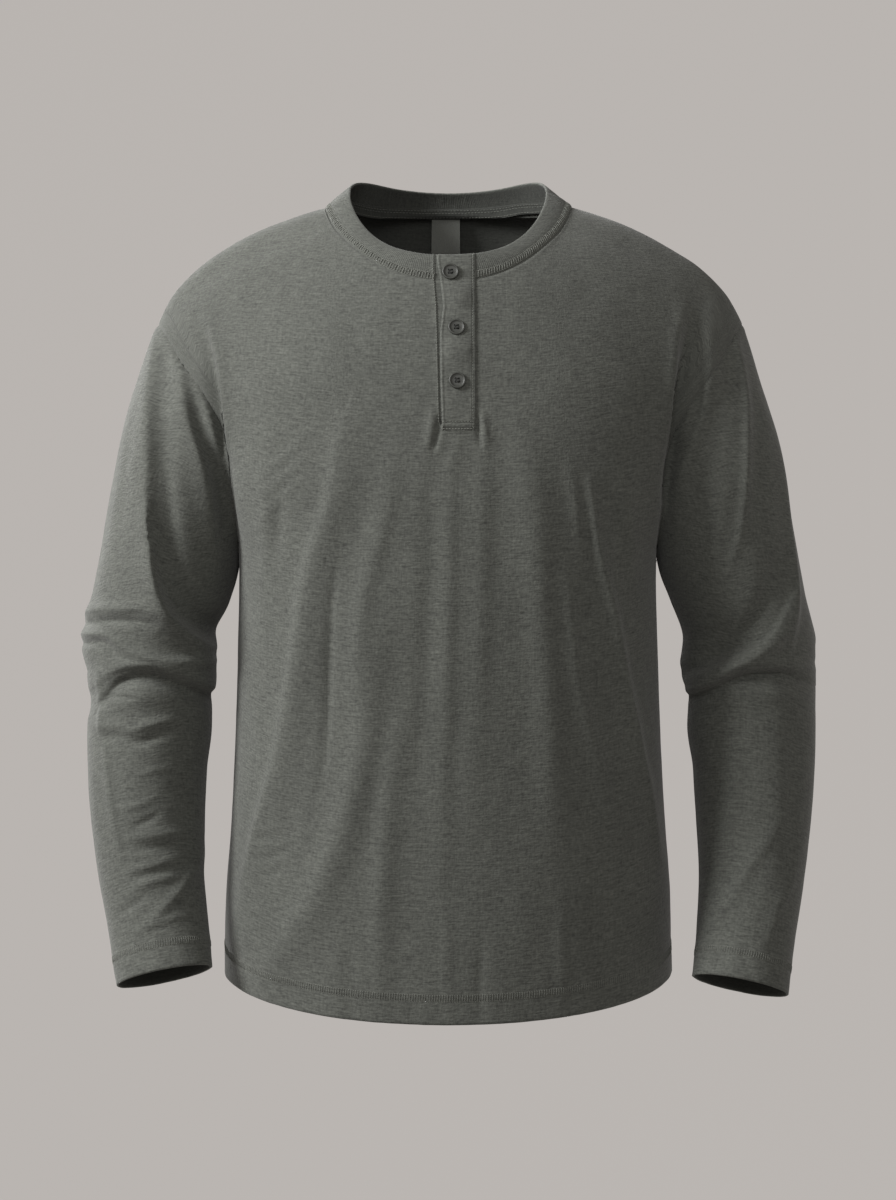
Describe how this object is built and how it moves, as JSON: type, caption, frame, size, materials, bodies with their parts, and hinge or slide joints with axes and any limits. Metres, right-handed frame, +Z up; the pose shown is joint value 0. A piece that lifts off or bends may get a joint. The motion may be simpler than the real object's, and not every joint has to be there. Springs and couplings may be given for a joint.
{
  "type": "henley shirt",
  "caption": "Hollow long-sleeved henley shirt, shaped as worn, with a rib neckband, a short buttoned placket, a rounded hem and plain hemmed cuffs.",
  "frame": {"origin": "the middle of the neck's base, between the inner ends of the shoulder seams, where the wearer's shoulders carry the shirt", "axes": "+X to the wearer's left, -Y to the front, +Z up"},
  "size_m": [0.6519, 0.2463, 0.7283],
  "materials": {
    "jersey": "matt slub jersey, charcoal green",
    "rib": "matt rib and tape of the same colour",
    "button": "satin, dark, with a raised rim",
    "label": "smooth woven label, blank"
  },
  "bodies": {
    "root": {"front_body": "jersey", "back_body": "jersey", "sleeve_left": "jersey", "sleeve_right": "jersey", "neckband": "rib", "placket_upper": "jersey", "placket_under": "jersey", "button_1": "button", "button_2": "button", "button_3": "button", "neck_tape": "rib", "neck_label": "label"}
  },
  "joints": []
}
